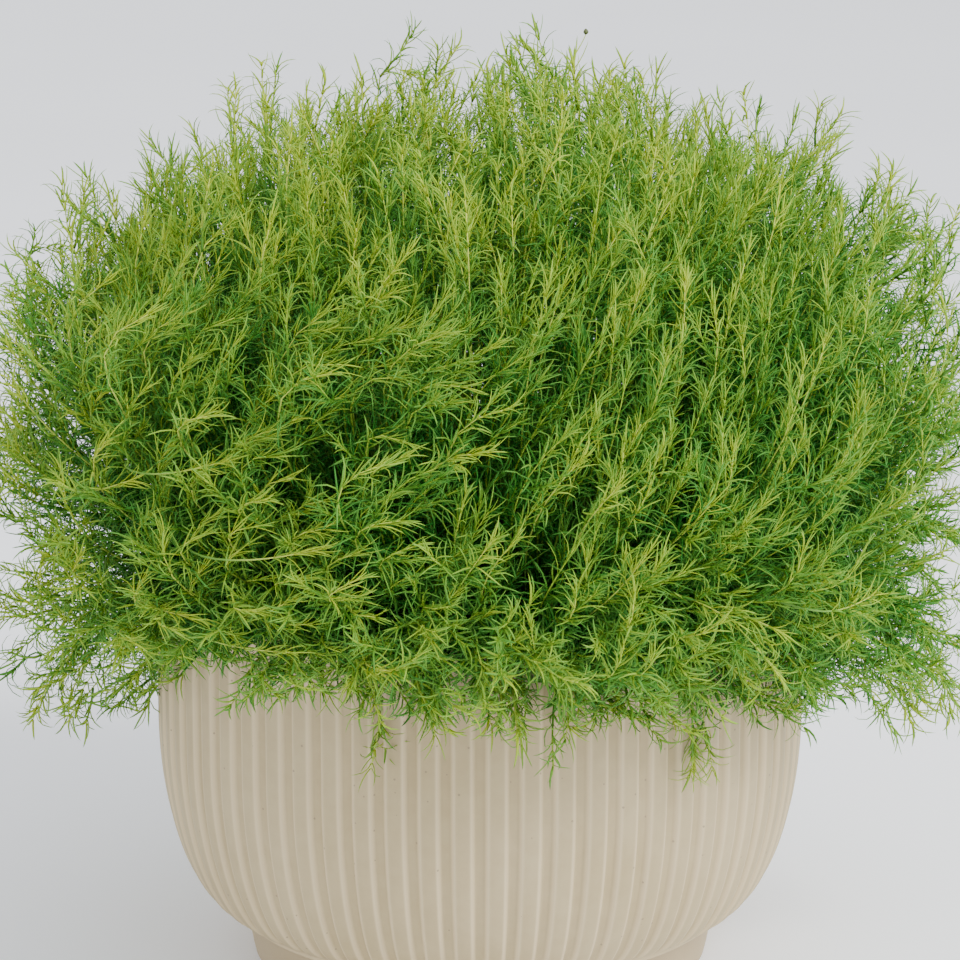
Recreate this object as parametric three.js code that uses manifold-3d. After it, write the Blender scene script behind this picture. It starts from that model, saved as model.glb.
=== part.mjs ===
// A mound of scotch moss in a ribbed ceramic bowl planter.
// Millimetres, +Z up, origin at the centre of the base that the pot stands on.
//
// The pot is one ceramic piece, filled with soil. The plant is a dome of stem clumps that grow
// out of the soil, spill over the rim and hang a little way down outside it, with a few single
// sprigs standing out of the dome and one flower bud on its stalk.

import * as THREE from "three";
import { mergeVertices } from "three/addons/utils/BufferGeometryUtils.js";
import Module from "manifold-3d";

const wasm = await Module();
wasm.setup();

// ---- Driving dimensions ----

// Pot
const POT_RADIUS = 110; // outside of the ribs, on the straight part of the wall
const POT_HEIGHT = 140; // floor to rim, foot included
const WALL = 6;
const RIM_ROUND = 2; // bevel on both edges of the rim
const FOOT_HEIGHT = 17;
const FOOT_RADIUS = 81; // at its top
const FOOT_TAPER = 3; // how much narrower the foot is at the floor
const FOOT_WALL = 7;
const BODY_OVERHANG = 3.5; // of the ribbed body's lower edge, past the foot
const LIP_HEIGHT = 3; // plain band between the foot and the ribs
const CURVE_HEIGHT = 66; // height over which the body swells from its base to POT_RADIUS
const FLOOR_THICKNESS = 5;
const RECESS_DEPTH = 3; // under the floor, inside the foot ring
const DRAIN_RADIUS = 8;

// Ribs
const RIB_COUNT = 62;
const RIB_SHARE = 0.56; // share of each pitch that the flat of the rib takes
const RIB_SLOPE_SHARE = 0.07; // share that each side of the rib takes
const GROOVE_DEPTH = 1.6;
const RIB_RUNOUT = 3; // height over which a groove comes up to the surface at each end

// Soil
const SOIL_DROP = 13; // from the rim to the soil at the wall
const SOIL_CROWN = 3; // how much higher the middle is

// Plant
const MOUND_OVERHANG = 61; // how far the dome reaches out past the pot's wall
const MOUND_RISE = 165; // from the rim to the top of the dome
const WIDEST_RISE = 25; // from the rim up to where the dome is widest
const SKIRT_DROP = 45; // from the rim down to the level that the skirt curves in to
const MOUND_ROUNDNESS = 2.4; // superellipse exponent above the widest level
const SKIRT_ROUNDNESS = 3; // and below it
const SKIRT_CLEARANCE = 1.5; // between the pot's wall and the stems that hang over it
const SPRIG_RADIUS = 2.2;
const STALK_RADIUS = 0.5;
const BUD_RADIUS = 0.9;
const BUD_LENGTH = 2;

const FIT_GAP = 0.5; // between pieces that touch
const CLUMP_GAP = 1.2; // between neighbouring clumps

const ROUND_SEGMENTS = 60;

// Where the dome divides into rings of clumps. Each border is a line from the soil up to the
// dome's surface: base is a share of the soil's radius, and top a share of the dome's. The
// outermost border starts on the rim.
const BORDERS = [
  { base: 0.29, top: 0.27 },
  { base: 0.62, top: 0.57 },
];
const OUTER_BORDER_TOP = 0.86;
const INNER_CLUMPS = 6;
const MIDDLE_CLUMPS = 10;
const TRAILING_CLUMPS = 12;

// Single sprigs that stand out of the dome. The azimuth is from +X, anticlockwise from above,
// and out is a share of the dome's radius.
const STANDING_SPRIGS = [
  { name: "sprig_left", azimuth: 184, out: 0.8, length: 9, lean: 0.35 },
  { name: "sprig_right", azimuth: 8, out: 0.7, length: 6, lean: 0.3 },
  { name: "sprig_top", azimuth: 60, out: 0.14, length: 12, lean: 0.2 },
];
const STALK = { azimuth: 32, out: 0.23, length: 9.5, lean: 0.25 };

// Single sprigs that hang from the skirt, a distance clear of the pot's wall.
const TRAILING_SPRIGS = [
  { name: "trailing_sprig_left", azimuth: 182, clear: 36, length: 33, swing: -0.3 },
  { name: "trailing_sprig_right", azimuth: 357, clear: 38, length: 38, swing: 0 },
  { name: "trailing_sprig_front_right", azimuth: 309, clear: 9, length: 17, swing: 0 },
  { name: "trailing_sprig_front_left", azimuth: 253, clear: 8.5, length: 8, swing: 0 },
];

// ---- Materials ----

const ceramic = new THREE.MeshStandardMaterial({ color: 0xc4bba5, roughness: 0.62, metalness: 0 });
const earth = new THREE.MeshStandardMaterial({ color: 0x3a2a1e, roughness: 0.95, metalness: 0 });
const leaf = new THREE.MeshStandardMaterial({ color: 0x7ea63a, roughness: 0.6, metalness: 0 });
const stem = new THREE.MeshStandardMaterial({ color: 0xa9b96a, roughness: 0.6, metalness: 0 });
const bud = new THREE.MeshStandardMaterial({ color: 0x8a7a4a, roughness: 0.6, metalness: 0 });

// ---- Turning three.js geometry into closed solids and back ----

function weld(geometry) {
  geometry.deleteAttribute("normal");
  geometry.deleteAttribute("uv");
  const merged = mergeVertices(geometry, 1e-4);
  const positions = merged.attributes.position.array;
  const triangles = [];
  for (let i = 0; i < merged.index.count; i += 3) {
    const corner = [0, 1, 2].map((k) => merged.index.getX(i + k));
    if (new Set(corner).size === 3) {
      triangles.push(...corner);
    }
  }
  return { positions, triangles };
}

function signedVolume({ positions, triangles }) {
  const [a, b, c] = [new THREE.Vector3(), new THREE.Vector3(), new THREE.Vector3()];
  let volume = 0;
  for (let i = 0; i < triangles.length; i += 3) {
    a.fromArray(positions, 3 * triangles[i]);
    b.fromArray(positions, 3 * triangles[i + 1]);
    c.fromArray(positions, 3 * triangles[i + 2]);
    volume += a.dot(b.cross(c)) / 6;
  }
  return volume;
}

function solid(geometry) {
  const welded = weld(geometry);
  if (signedVolume(welded) < 0) {
    welded.triangles.reverse();
  }
  return new wasm.Manifold(
    new wasm.Mesh({
      numProp: 3,
      vertProperties: new Float32Array(welded.positions),
      triVerts: new Uint32Array(welded.triangles),
    }),
  );
}

function meshOf(name, body, material) {
  const { vertProperties, triVerts } = body.getMesh();
  const geometry = new THREE.BufferGeometry();
  geometry.setAttribute("position", new THREE.BufferAttribute(vertProperties, 3));
  geometry.setIndex(new THREE.BufferAttribute(triVerts, 1));
  geometry.computeVertexNormals();
  const mesh = new THREE.Mesh(geometry, material);
  mesh.name = name;
  return mesh;
}

// ---- Shapes ----

// Turns [radius, height] points about the Z axis.
function revolve(profile, segments = ROUND_SEGMENTS) {
  const points = profile.map(([radius, height]) => new THREE.Vector2(radius, height));
  return new THREE.LatheGeometry(points, segments).rotateX(Math.PI / 2);
}

function cylinder(radius, low, high) {
  const geometry = new THREE.CylinderGeometry(radius, radius, high - low, ROUND_SEGMENTS);
  return solid(geometry.rotateX(Math.PI / 2).translate(0, 0, (low + high) / 2));
}

// A quarter-ellipse swell from [radius - inset, low] out to [radius, low + height].
function swell(radius, inset, low, height, steps) {
  const points = [];
  for (let i = 0; i <= steps; i++) {
    const turn = (i / steps) * (Math.PI / 2);
    points.push([radius - inset * (1 - Math.sin(turn)), low + height * (1 - Math.cos(turn))]);
  }
  return points;
}

// ---- Pot ----

const FOOT_BOTTOM_RADIUS = FOOT_RADIUS - FOOT_TAPER;
const BODY_BASE_RADIUS = FOOT_RADIUS + BODY_OVERHANG;
const CURVE_LOW_Z = FOOT_HEIGHT + LIP_HEIGHT;
const FLOOR_Z = RECESS_DEPTH + FLOOR_THICKNESS;

function outerProfile() {
  const body = swell(POT_RADIUS, POT_RADIUS - BODY_BASE_RADIUS, CURVE_LOW_Z, CURVE_HEIGHT, 5);
  const [first, ...rest] = body;
  return [
    [0, 0],
    [FOOT_BOTTOM_RADIUS, 0],
    [FOOT_RADIUS, FOOT_HEIGHT],
    [BODY_BASE_RADIUS, FOOT_HEIGHT],
    first,
    ...rest,
    [POT_RADIUS, POT_HEIGHT - RIM_ROUND - RIB_RUNOUT],
    [POT_RADIUS, POT_HEIGHT - RIM_ROUND],
    [POT_RADIUS - RIM_ROUND, POT_HEIGHT],
    [0, POT_HEIGHT],
  ];
}

// The inside of the pot, shrunk by a gap for what is fitted into it, up to a height.
function cavityProfile(gap, top) {
  const inner = POT_RADIUS - WALL - gap;
  const footInner = FOOT_RADIUS - FOOT_WALL - gap;
  const low = FOOT_HEIGHT + WALL + gap;
  const height = CURVE_LOW_Z + CURVE_HEIGHT - low;
  return [
    [0, FLOOR_Z + gap],
    [FOOT_BOTTOM_RADIUS - FOOT_WALL - gap, FLOOR_Z + gap],
    [footInner, FOOT_HEIGHT + gap],
    ...swell(inner, inner - footInner - WALL / 2, low, height, 6),
    [inner, top],
  ];
}

// Cuts the grooves between the ribs into a revolved surface by moving its vertices. Every pitch
// has four columns of vertices: the two edges of the rib, then the two edges of the groove.
function rib(geometry, rows) {
  const position = geometry.attributes.position;
  const pitch = (2 * Math.PI) / RIB_COUNT;
  const edges = [0, RIB_SHARE, RIB_SHARE + RIB_SLOPE_SHARE, 1 - RIB_SLOPE_SHARE];
  const lowest = CURVE_LOW_Z + RIB_RUNOUT / 2;
  const highest = POT_HEIGHT - RIM_ROUND - RIB_RUNOUT / 2;
  for (let i = 0; i < position.count; i++) {
    const column = Math.floor(i / rows) % (4 * RIB_COUNT);
    const angle = (Math.floor(column / 4) + edges[column % 4] - (1 + RIB_SHARE) / 2) * pitch;
    const height = position.getZ(i);
    const ribbed = column % 4 >= 2 && height > lowest && height < highest;
    const radius = Math.hypot(position.getX(i), position.getY(i)) - (ribbed ? GROOVE_DEPTH : 0);
    position.setXY(i, radius * Math.sin(angle), -radius * Math.cos(angle));
  }
  return geometry;
}

function makePot() {
  const profile = outerProfile();
  const outside = solid(rib(revolve(profile, 4 * RIB_COUNT), profile.length));
  const flare = [
    [POT_RADIUS - WALL + RIM_ROUND, POT_HEIGHT],
    [POT_RADIUS - WALL + RIM_ROUND, POT_HEIGHT + RIM_ROUND],
    [0, POT_HEIGHT + RIM_ROUND],
  ];
  const inside = solid(revolve([...cavityProfile(0, POT_HEIGHT - RIM_ROUND), ...flare]));
  const recess = cylinder(FOOT_BOTTOM_RADIUS - FOOT_WALL, -1, RECESS_DEPTH);
  const drain = cylinder(DRAIN_RADIUS, -1, FLOOR_Z + 1);
  return outside.subtract(inside).subtract(recess).subtract(drain);
}

// ---- Soil ----

const SOIL_LEVEL = POT_HEIGHT - SOIL_DROP;
const SOIL_TOP_Z = SOIL_LEVEL + SOIL_CROWN;

function makeSoil() {
  const side = cavityProfile(FIT_GAP, SOIL_LEVEL);
  const reach = side[side.length - 1][0];
  const crown = [0.85, 0.5].map((share) => [reach * share, SOIL_TOP_Z - SOIL_CROWN * share ** 3]);
  return solid(revolve([...side, ...crown, [0, SOIL_TOP_Z]]));
}

// ---- The dome of stems ----

const MOUND_RADIUS = POT_RADIUS + MOUND_OVERHANG;
const MOUND_TOP_Z = POT_HEIGHT + MOUND_RISE;
const MOUND_WIDEST_Z = POT_HEIGHT + WIDEST_RISE;
const SKIRT_BOTTOM_Z = POT_HEIGHT - SKIRT_DROP;

// Height of the dome's upper surface, and of the skirt's underside, at a distance from the axis.
function domeZ(radius) {
  const share = 1 - (radius / MOUND_RADIUS) ** MOUND_ROUNDNESS;
  return MOUND_WIDEST_Z + (MOUND_TOP_Z - MOUND_WIDEST_Z) * share ** (1 / MOUND_ROUNDNESS);
}

function skirtZ(radius) {
  const share = 1 - (radius / MOUND_RADIUS) ** SKIRT_ROUNDNESS;
  return MOUND_WIDEST_Z - (MOUND_WIDEST_Z - SKIRT_BOTTOM_Z) * share ** (1 / SKIRT_ROUNDNESS);
}

// Points of a surface between two distances from the axis, closer together towards the outside.
function along(surface, from, to, steps) {
  const points = [];
  for (let i = 0; i <= steps; i++) {
    const [start, end] = [from, to].map((radius) => Math.asin(radius / MOUND_RADIUS));
    const radius = MOUND_RADIUS * Math.sin(THREE.MathUtils.lerp(start, end, i / steps));
    points.push([radius, surface(radius)]);
  }
  return points;
}

const CLUMP_BASE_Z = SOIL_TOP_Z + FIT_GAP;
const OVER_RIM_Z = POT_HEIGHT + FIT_GAP;
const SOIL_RADIUS = POT_RADIUS - WALL - FIT_GAP;
const HALF_GAP = CLUMP_GAP / 2;

const [innerBorder, middleBorder] = BORDERS.map(({ base, top }) => ({
  base: base * SOIL_RADIUS,
  top: top * MOUND_RADIUS,
}));
const outerBorderTop = OUTER_BORDER_TOP * MOUND_RADIUS;

function centreProfile() {
  return [
    [0, CLUMP_BASE_Z],
    [innerBorder.base - HALF_GAP, CLUMP_BASE_Z],
    ...along(domeZ, innerBorder.top - HALF_GAP, 0, 3),
  ];
}

function innerProfile() {
  return [
    [innerBorder.base + HALF_GAP, CLUMP_BASE_Z],
    [middleBorder.base - HALF_GAP, CLUMP_BASE_Z],
    ...along(domeZ, middleBorder.top - HALF_GAP, innerBorder.top + HALF_GAP, 3),
  ];
}

function middleProfile() {
  return [
    [middleBorder.base + HALF_GAP, CLUMP_BASE_Z],
    [SOIL_RADIUS, CLUMP_BASE_Z],
    [SOIL_RADIUS, OVER_RIM_Z],
    [POT_RADIUS - HALF_GAP, OVER_RIM_Z],
    ...along(domeZ, outerBorderTop - HALF_GAP, middleBorder.top + HALF_GAP, 3),
  ];
}

function trailingProfile() {
  const inner = POT_RADIUS + SKIRT_CLEARANCE;
  return [
    [POT_RADIUS + HALF_GAP, OVER_RIM_Z],
    [inner, OVER_RIM_Z],
    ...along(skirtZ, inner, MOUND_RADIUS, 5),
    ...along(domeZ, MOUND_RADIUS, outerBorderTop + HALF_GAP, 3).slice(1),
  ];
}

// One of `count` equal sectors, a wedge that leaves half the clump gap free on both sides.
function sector(index, count) {
  const half = Math.PI / count;
  const tip = HALF_GAP / Math.sin(half);
  const reach = 3 * MOUND_RADIUS;
  const shape = new THREE.Shape();
  shape.moveTo(tip, 0);
  shape.lineTo(tip + reach * Math.cos(half), reach * Math.sin(half));
  shape.lineTo(tip + reach * Math.cos(half), -reach * Math.sin(half));
  shape.closePath();
  const wedge = new THREE.ExtrudeGeometry(shape, { depth: 3 * MOUND_TOP_Z, bevelEnabled: false });
  return solid(wedge.rotateZ((2 * Math.PI * index) / count).translate(0, 0, -MOUND_TOP_Z));
}

function clumpRing(name, profile, count) {
  const ring = solid(revolve([...profile, profile[0]]));
  const clumps = [];
  for (let i = 0; i < count; i++) {
    clumps.push(meshOf(`${name}_${i + 1}`, ring.intersect(sector(i, count)), leaf));
  }
  return clumps;
}

// ---- Sprigs, stalk and bud ----

const RING_SIDES = 8;

function tube(points, radius, steps) {
  const circle = new THREE.Shape();
  for (let i = 0; i < RING_SIDES; i++) {
    const turn = (2 * Math.PI * i) / RING_SIDES;
    const [x, y] = [radius * Math.cos(turn), radius * Math.sin(turn)];
    i === 0 ? circle.moveTo(x, y) : circle.lineTo(x, y);
  }
  circle.closePath();
  const path = new THREE.CatmullRomCurve3(points);
  return solid(new THREE.ExtrudeGeometry(circle, { steps, extrudePath: path, bevelEnabled: false }));
}

// A point given by its distance from the axis, azimuth in degrees and height.
function at(radius, azimuth, height) {
  const turn = THREE.MathUtils.degToRad(azimuth);
  return new THREE.Vector3(radius * Math.cos(turn), radius * Math.sin(turn), height);
}

// How far above the dome a tube has to start so that its end clears the slope.
function domeClearance(radius, tubeRadius) {
  const rise = domeZ(radius - tubeRadius) - domeZ(radius + tubeRadius);
  return FIT_GAP + rise / 2 + tubeRadius / 2;
}

function standingPath({ azimuth, out, length, lean }, tubeRadius) {
  const radius = out * MOUND_RADIUS;
  const base = domeZ(radius) + domeClearance(radius, tubeRadius);
  return [0, 0.5, 1].map((share) =>
    at(radius + lean * length * share ** 2, azimuth, base + length * share),
  );
}

function standingSprig(spec) {
  return meshOf(spec.name, tube(standingPath(spec, SPRIG_RADIUS), SPRIG_RADIUS, 4), leaf);
}

function trailingSprig({ name, azimuth, clear, length, swing }) {
  const radius = POT_RADIUS + clear;
  const start = Math.min(skirtZ(radius - SPRIG_RADIUS), skirtZ(radius + SPRIG_RADIUS));
  const top = start - FIT_GAP - SPRIG_RADIUS / 2;
  const path = [0, 0.5, 1].map((share) =>
    at(radius + swing * length * share ** 2, azimuth, top - length * share),
  );
  return meshOf(name, tube(path, SPRIG_RADIUS, 4), leaf);
}

function makeFlower() {
  const path = standingPath(STALK, STALK_RADIUS);
  const tip = path[path.length - 1];
  const stalk = meshOf("flower_stalk", tube(path, STALK_RADIUS, 5), stem);
  const ball = new THREE.SphereGeometry(BUD_RADIUS, 10, 8).scale(1, BUD_LENGTH / 2 / BUD_RADIUS, 1);
  ball.rotateX(Math.PI / 2).translate(tip.x, tip.y, tip.z + BUD_LENGTH / 2 + FIT_GAP / 2);
  return [stalk, meshOf("flower_bud", solid(ball), bud)];
}

// ---- The whole part ----

const plant = new THREE.Group();
plant.add(meshOf("foliage_centre", solid(revolve(centreProfile())), leaf));
plant.add(...clumpRing("foliage_inner", innerProfile(), INNER_CLUMPS));
plant.add(...clumpRing("foliage_middle", middleProfile(), MIDDLE_CLUMPS));
plant.add(...clumpRing("foliage_trailing", trailingProfile(), TRAILING_CLUMPS));
plant.add(...STANDING_SPRIGS.map(standingSprig));
plant.add(...TRAILING_SPRIGS.map(trailingSprig));
plant.add(...makeFlower());

const planter = new THREE.Group();
planter.add(meshOf("pot", makePot(), ceramic));
planter.add(meshOf("soil", makeSoil(), earth));
planter.add(plant);

export default planter;
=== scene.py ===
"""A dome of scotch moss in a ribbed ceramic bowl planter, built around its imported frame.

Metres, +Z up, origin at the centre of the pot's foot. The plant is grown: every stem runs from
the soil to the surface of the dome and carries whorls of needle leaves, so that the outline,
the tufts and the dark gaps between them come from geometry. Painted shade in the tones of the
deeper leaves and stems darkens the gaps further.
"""

import math

import bpy
import numpy as np
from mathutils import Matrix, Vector


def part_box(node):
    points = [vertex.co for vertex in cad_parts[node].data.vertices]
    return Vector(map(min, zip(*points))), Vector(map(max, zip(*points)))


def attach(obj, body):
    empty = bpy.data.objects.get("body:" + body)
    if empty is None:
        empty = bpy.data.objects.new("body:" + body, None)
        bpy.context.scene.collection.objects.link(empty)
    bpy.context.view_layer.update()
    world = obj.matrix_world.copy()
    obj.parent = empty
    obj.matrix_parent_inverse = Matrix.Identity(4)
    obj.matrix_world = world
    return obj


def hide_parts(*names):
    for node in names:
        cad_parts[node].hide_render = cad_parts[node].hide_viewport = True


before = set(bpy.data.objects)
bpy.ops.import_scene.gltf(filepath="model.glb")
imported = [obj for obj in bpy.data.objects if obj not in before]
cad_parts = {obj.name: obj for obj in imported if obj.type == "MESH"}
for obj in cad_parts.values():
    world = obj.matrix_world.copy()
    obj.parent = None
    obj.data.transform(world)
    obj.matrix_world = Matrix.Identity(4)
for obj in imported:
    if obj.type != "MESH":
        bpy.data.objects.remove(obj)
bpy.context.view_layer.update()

# ---- Sizes from the frame ----

pot_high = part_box("pot")[1]
soil_low, soil_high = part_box("soil")
POT_RADIUS = pot_high.x
POT_HEIGHT = pot_high.z
SOIL_Z = soil_high.z
SOIL_RADIUS = soil_high.x
DOME_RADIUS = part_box("foliage_trailing_1")[1].x
DOME_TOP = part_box("foliage_centre")[1].z
INNER_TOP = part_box("foliage_centre")[1].x
MIDDLE_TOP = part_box("foliage_inner_1")[1].x
OUTER_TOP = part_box("foliage_middle_1")[1].x

# ---- Sizes of the pot that the frame's boxes do not give ----

WALL = 0.006
RIM_ROUND = 0.002
FOOT_HEIGHT = 0.017
FOOT_RADIUS = 0.081
FOOT_TAPER = 0.003
FOOT_WALL = 0.007
BODY_BASE_RADIUS = 0.0845
LIP_HEIGHT = 0.003
CURVE_HEIGHT = 0.066
FLOOR_THICKNESS = 0.005
RECESS_DEPTH = 0.003
DRAIN_RADIUS = 0.008
RIB_COUNT = 62
RIB_SHARE = 0.56
RIB_SLOPE_SHARE = 0.07
GROOVE_DEPTH = 0.0016
RIB_CROWN = 0.00035
RIB_EDGE_SHARE = 0.055
COLUMNS_PER_RIB = 16

# ---- Sizes of the plant ----

WIDEST_Z = POT_HEIGHT + 0.025
SKIRT_Z = POT_HEIGHT - 0.045
DOME_ROUNDNESS = 2.4
SKIRT_ROUNDNESS = 3.0
LEAF_LENGTH = 0.0132
LEAF_WIDTH = 0.00061
LEAF_THICKNESS = 0.00024
NODE_SPACING = 0.0042
STEM_RADIUS = 0.00036
LEAVES_PER_PIECE = 8500
ARCHING_SHARE = 0.62
CURL_LIMIT = 2.4
FORKED_SHARE = 0.8
FORK_LEAFED_SHARE = 0.9
FORK_SHADE = 0.14
LUMP_SPACING = 0.085
LUMP_HEIGHT = 0.006
LUMP_LIMIT = 0.004
SIDE_DROOP = 0.016
ROOT_DEPTH = 0.006
WALL_CLEARANCE = 0.004
TIP_OVERHANG = 0.002
STEPS = 12

# Places along a leaf, from its base to its point, and the blade's width there.
BLADE_STATIONS = (0.0, 0.25, 0.52, 0.8)
BLADE_WIDTHS = (0.8, 1.0, 0.95, 0.74)

# The colour map: u runs along a blade or a stem, and v is its tone, kept a little off the edges.
MAP_MARGIN = 0.02
MAP_SPAN = 0.96
MAP_HALF_WIDTH = 0.006
TONE_MARGIN = 0.03

# The fringe is cut short at the front left: azimuth and width in degrees, and the rise.
SHORT_FRINGE = 236
SHORT_FRINGE_WIDTH = 23
SHORT_FRINGE_RISE = 0.026

UP = np.array([0.0, 0.0, 1.0])
RIGHT = np.array([1.0, 0.0, 0.0])


# ---- Small helpers ----


def mesh_object(name, points, faces, material):
    mesh = bpy.data.meshes.new(name)
    mesh.from_pydata(np.asarray(points).tolist(), [], faces)
    mesh.update()
    piece = bpy.data.objects.new(name, mesh)
    bpy.context.scene.collection.objects.link(piece)
    mesh.materials.append(material)
    return piece


def shade_smooth(piece):
    piece.data.polygons.foreach_set("use_smooth", np.ones(len(piece.data.polygons), bool))


def unit(v):
    return v / np.maximum(np.linalg.norm(v, axis=-1, keepdims=True), 1e-12)


def smoothstep(low, high, value):
    share = np.clip((value - low) / (high - low), 0.0, 1.0)
    return share * share * (3.0 - 2.0 * share)


def bell(value, middle, width):
    """1 at the middle, falling away to 0 on both sides of it."""
    return np.exp(-(((value - middle) / width) ** 2))


def ring_faces(rows, columns, joined=False):
    """Faces between the rings of a turned surface, whose two ends are joined together or capped."""
    index = np.arange(rows * columns).reshape(rows, columns)
    right = np.roll(index, -1, axis=1)
    if joined:
        above = np.roll(index, -1, axis=0)
        corner = np.roll(right, -1, axis=0)
        return np.stack([index, right, corner, above], -1).reshape(-1, 4).tolist()
    sides = np.stack([index[:-1], right[:-1], right[1:], index[1:]], -1).reshape(-1, 4).tolist()
    return sides + [index[0, ::-1].tolist(), index[-1].tolist()]


# ---- Materials ----


class Nodes:
    """A short way to write a material's node tree."""

    def __init__(self, name):
        self.material = bpy.data.materials.new(name)
        self.material.use_nodes = True
        self.tree = self.material.node_tree
        self.tree.nodes.clear()

    def add(self, kind, inputs=None, **settings):
        node = self.tree.nodes.new(kind)
        for key, value in settings.items():
            setattr(node, key, value)
        for key, value in (inputs or {}).items():
            socket = node.inputs[key]
            if isinstance(value, bpy.types.NodeSocket):
                self.tree.links.new(value, socket)
            else:
                socket.default_value = value
        return node

    def noise(self, vector, scale, detail=4.0, roughness=0.5):
        inputs = {"Vector": vector, "Scale": scale, "Detail": detail, "Roughness": roughness}
        return self.add("ShaderNodeTexNoise", inputs).outputs["Fac"]

    def ramp(self, value, *stops):
        node = self.add("ShaderNodeValToRGB", {"Fac": value})
        elements = node.color_ramp.elements
        while len(elements) < len(stops):
            elements.new(1.0)
        for element, (place, colour) in zip(elements, stops):
            element.position = place
            element.color = (*colour, 1.0)
        return node.outputs["Color"]

    def mix(self, share, first, second, blend_type="MIX"):
        node = self.add("ShaderNodeMix", data_type="RGBA", blend_type=blend_type)
        for index, value in ((0, share), (6, first), (7, second)):
            if isinstance(value, bpy.types.NodeSocket):
                self.tree.links.new(value, node.inputs[index])
            elif index:
                node.inputs[index].default_value = (*value, 1.0)
            else:
                node.inputs[index].default_value = value
        return node.outputs[2]

    def math(self, operation, first, second):
        node = self.add("ShaderNodeMath", operation=operation)
        for index, value in enumerate((first, second)):
            if isinstance(value, bpy.types.NodeSocket):
                self.tree.links.new(value, node.inputs[index])
            else:
                node.inputs[index].default_value = value
        return node.outputs[0]

    def bump(self, height, strength, distance):
        inputs = {"Height": height, "Strength": strength, "Distance": distance}
        return self.add("ShaderNodeBump", inputs).outputs["Normal"]

    def output(self, shader):
        self.add("ShaderNodeOutputMaterial", {"Surface": shader})
        return self.material


def ceramic_material():
    """Matt glaze: grey-beige, lighter where it thins on an edge, with fine specks and dapples."""
    n = Nodes("pot_ceramic")
    place = n.add("ShaderNodeTexCoord").outputs["Object"]
    edge = n.add("ShaderNodeAttribute", attribute_name="glaze_edge").outputs["Fac"]
    clay = n.add("ShaderNodeAttribute", attribute_name="bare_clay").outputs["Fac"]
    drift = n.noise(place, 22.0, 3.0)
    cloud = n.noise(place, 160.0, 4.0, 0.6)
    body = n.ramp(drift, (0.3, (0.408, 0.32, 0.168)), (0.7, (0.458, 0.367, 0.208)))
    dapple = n.ramp(cloud, (0.35, (0.94, 0.93, 0.91)), (0.65, (1.0, 1.0, 1.0)))
    body = n.mix(1.0, body, dapple, "MULTIPLY")
    body = n.mix(n.math("MULTIPLY", edge, 0.85), body, (0.69, 0.56, 0.345))
    body = n.mix(clay, body, (0.43, 0.335, 0.195))
    cells = n.add("ShaderNodeTexVoronoi", {"Vector": place, "Scale": 300.0, "Randomness": 1.0})
    near = n.math("LESS_THAN", cells.outputs["Distance"], 0.12)
    lot = n.add("ShaderNodeSeparateColor", {"Color": cells.outputs["Color"]}).outputs[0]
    chosen = n.math("GREATER_THAN", lot, 0.8)
    speck = n.math("MULTIPLY", n.math("MULTIPLY", near, chosen), 0.55)
    body = n.mix(speck, body, (0.16, 0.12, 0.08))
    fine = n.noise(place, 900.0, 3.0, 0.6)
    height = n.math("ADD", n.math("MULTIPLY", fine, 0.5), cloud)
    rough = n.add("ShaderNodeMapRange", {"Value": cloud, "To Min": 0.5, "To Max": 0.68}).outputs[0]
    shader = n.add(
        "ShaderNodeBsdfPrincipled",
        {
            "Base Color": body,
            "Roughness": rough,
            "Specular IOR Level": 0.4,
            "Normal": n.bump(height, 0.25, 0.0004),
        },
    )
    return n.output(shader.outputs[0])


def soil_material():
    n = Nodes("soil")
    place = n.add("ShaderNodeTexCoord").outputs["Object"]
    grain = n.noise(place, 420.0, 6.0, 0.65)
    colour = n.ramp(
        grain,
        (0.3, (0.012, 0.008, 0.005)),
        (0.55, (0.05, 0.031, 0.018)),
        (0.75, (0.12, 0.08, 0.045)),
    )
    shader = n.add(
        "ShaderNodeBsdfPrincipled",
        {"Base Color": colour, "Roughness": 0.95, "Normal": n.bump(grain, 0.8, 0.001)},
    )
    return n.output(shader.outputs[0])


def plant_material(name, across, along, translucency):
    """Plant tissue coloured by where a point lies along its blade and by the blade's own tone.

    across holds the tones from the shade inside the dome to the sunlit tips. along multiplies
    them from the base of the blade to its point.
    """
    n = Nodes(name)
    place = n.add("ShaderNodeUVMap", uv_map="OFBake").outputs["UV"]
    parts = n.add("ShaderNodeSeparateXYZ", {"Vector": place})
    tone = n.ramp(parts.outputs["Y"], *across)
    shade = n.ramp(parts.outputs["X"], *along)
    colour = n.mix(1.0, tone, shade, "MULTIPLY")
    rough = n.add("ShaderNodeMapRange", {"Value": parts.outputs["X"], "To Min": 0.42, "To Max": 0.6})
    solid = n.add(
        "ShaderNodeBsdfPrincipled",
        {"Base Color": colour, "Roughness": rough.outputs[0], "Specular IOR Level": 0.2},
    )
    through = n.add("ShaderNodeBsdfTranslucent", {"Color": colour})
    shaders = {"Fac": translucency, 1: solid.outputs[0], 2: through.outputs[0]}
    return n.output(n.add("ShaderNodeMixShader", shaders).outputs[0])


def leaf_material():
    across = (
        (0.0, (0.018, 0.16, 0.012)),
        (0.25, (0.05, 0.27, 0.028)),
        (0.5, (0.14, 0.4, 0.052)),
        (0.75, (0.31, 0.53, 0.062)),
        (1.0, (0.57, 0.7, 0.062)),
    )
    along = (
        (0.0, (1.32, 1.18, 0.85)),
        (0.4, (1.0, 1.0, 1.0)),
        (0.8, (0.8, 0.95, 1.2)),
        (1.0, (0.55, 0.66, 0.9)),
    )
    return plant_material("leaf", across, along, 0.42)


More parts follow.
